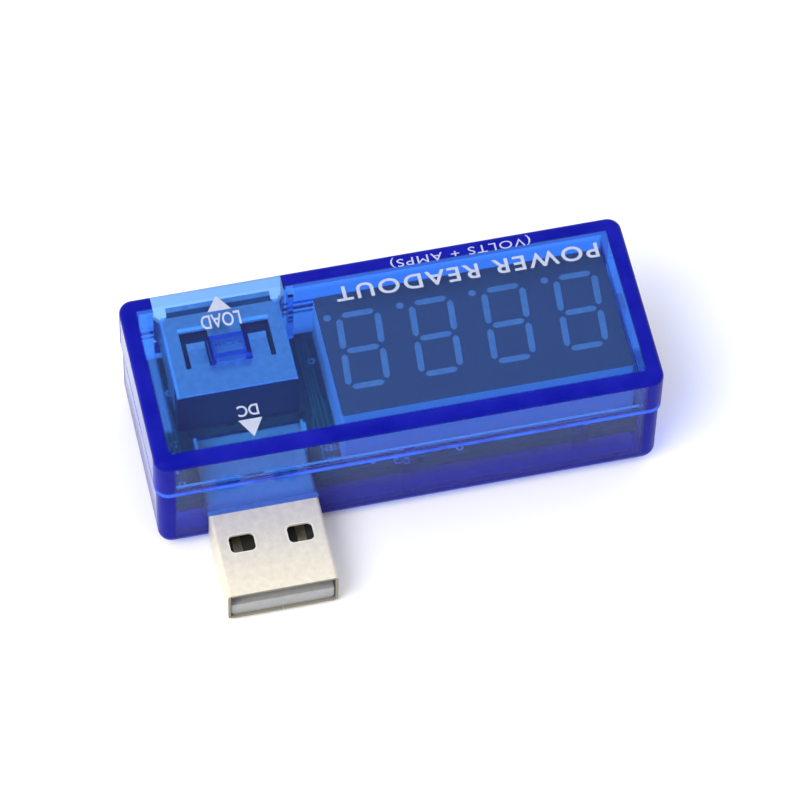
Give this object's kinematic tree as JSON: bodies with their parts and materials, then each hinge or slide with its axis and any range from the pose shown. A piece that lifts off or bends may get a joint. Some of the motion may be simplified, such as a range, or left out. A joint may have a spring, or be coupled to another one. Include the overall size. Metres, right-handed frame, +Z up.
{
  "type": "usb power meter",
  "caption": "Pass-through power meter in a clear two-part case: a plug on one long side, a socket on the other and a seven-segment display beside them on one circuit board.",
  "frame": {"origin": "centre of the whole part's footprint, plug included, at the level of the case's underside", "axes": "+X along the case to the display end, -Y the way the plug points, +Y the way the socket opens, +Z up through the display's face"},
  "size_m": [0.0554, 0.032, 0.0164],
  "materials": {
    "clear_blue_plastic": "clear tinted polycarbonate, polished",
    "board_green": "green solder mask on glass-fibre board",
    "plug_nickel": "satin nickel plating",
    "socket_nickel": "bright nickel plating",
    "pale_insulator": "moulded thermoplastic",
    "black_insulator": "moulded thermoplastic",
    "contact_gold": "gold-flashed phosphor bronze",
    "display_shell": "pale moulded housing with a dark printed face",
    "display_epoxy": "cast diffusing epoxy",
    "display_substrate": "glass-fibre board",
    "led_chip": "bare semiconductor chip",
    "tinned_lead": "matte tin plating",
    "chip_epoxy": "black moulding compound",
    "shunt_epoxy": "black coated resistive element",
    "capacitor_ceramic": "fired ceramic",
    "resistor_ceramic": "glass-coated ceramic",
    "solder": "bright solder",
    "white_print": "screen-printed ink",
    "board_tracks": "copper tracks under solder mask"
  },
  "bodies": {
    "meter": {"top_cover": "clear_blue_plastic", "bottom_cover": "clear_blue_plastic", "circuit_board": "board_green", "plug_shell": "plug_nickel", "plug_insulator": "pale_insulator", "plug_contacts": "contact_gold", "socket_shell": "socket_nickel", "socket_insulator": "black_insulator", "socket_tails": "tinned_lead", "display_housing": "display_shell", "display_segments": "display_epoxy", "display_dots": "display_epoxy", "display_substrate": "display_substrate", "led_chips": "led_chip", "display_pins": "tinned_lead", "microcontroller": "chip_epoxy", "microcontroller_leads": "tinned_lead", "op_amp": "chip_epoxy", "op_amp_leads": "tinned_lead", "voltage_regulator": "chip_epoxy", "voltage_regulator_leads": "tinned_lead", "current_shunt": "shunt_epoxy", "current_shunt_terminals": "tinned_lead", "ceramic_capacitors": "capacitor_ceramic", "capacitor_terminals": "tinned_lead", "chip_resistors": "resistor_ceramic", "resistor_terminals": "tinned_lead", "solder_joints": "solder"},
    "contact_springs": {"socket_contact_springs": "contact_gold"}
  },
  "joints": [
    {"name": "contact_spring_flex", "type": "hinge", "parent": "meter", "child": "contact_springs", "pos_m": [-0.0169, 0.00665, 0.01126], "axis": [1, 0, 0], "range_deg": [0, 3.5], "stiffness_Nm_per_rad": 0.41}
  ]
}
